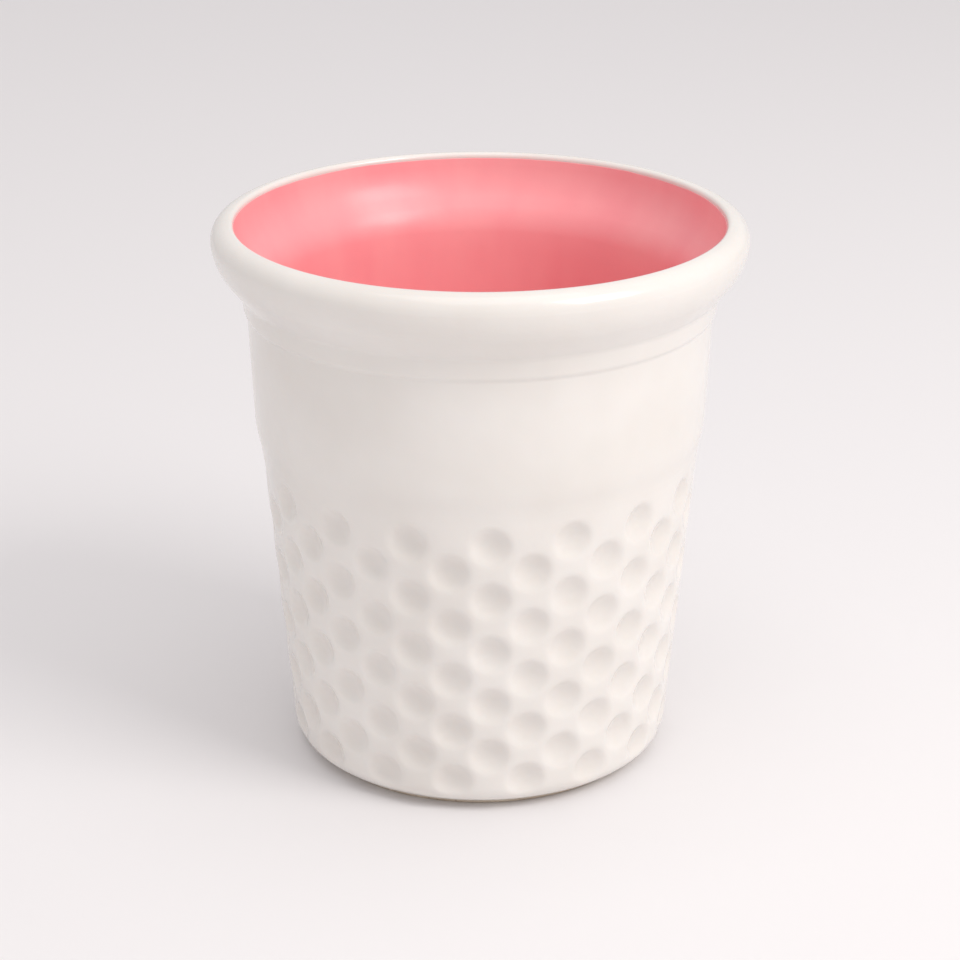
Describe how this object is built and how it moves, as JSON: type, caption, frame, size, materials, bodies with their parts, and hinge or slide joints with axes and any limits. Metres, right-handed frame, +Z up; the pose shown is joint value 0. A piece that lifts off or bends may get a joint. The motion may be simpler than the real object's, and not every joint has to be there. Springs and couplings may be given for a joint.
{
  "type": "thimble pot",
  "caption": "Open ceramic pot shaped like a sewing thimble, with a flared lip, rows of round dimples on the lower wall and a foot ring, for holding small things on a desk.",
  "frame": {"origin": "centre of the foot ring, on the surface that the pot stands on", "axes": "+Z up along the pot's axis, -Y towards the viewer of the picture"},
  "size_m": [0.0948, 0.0948, 0.1],
  "materials": {
    "bisque_clay": "matte",
    "white_glaze": "gloss",
    "pink_glaze": "gloss"
  },
  "bodies": {
    "root": {"clay_body": "bisque_clay", "outer_glaze": "white_glaze", "inner_glaze": "pink_glaze", "underside_glaze": "white_glaze"}
  },
  "joints": []
}
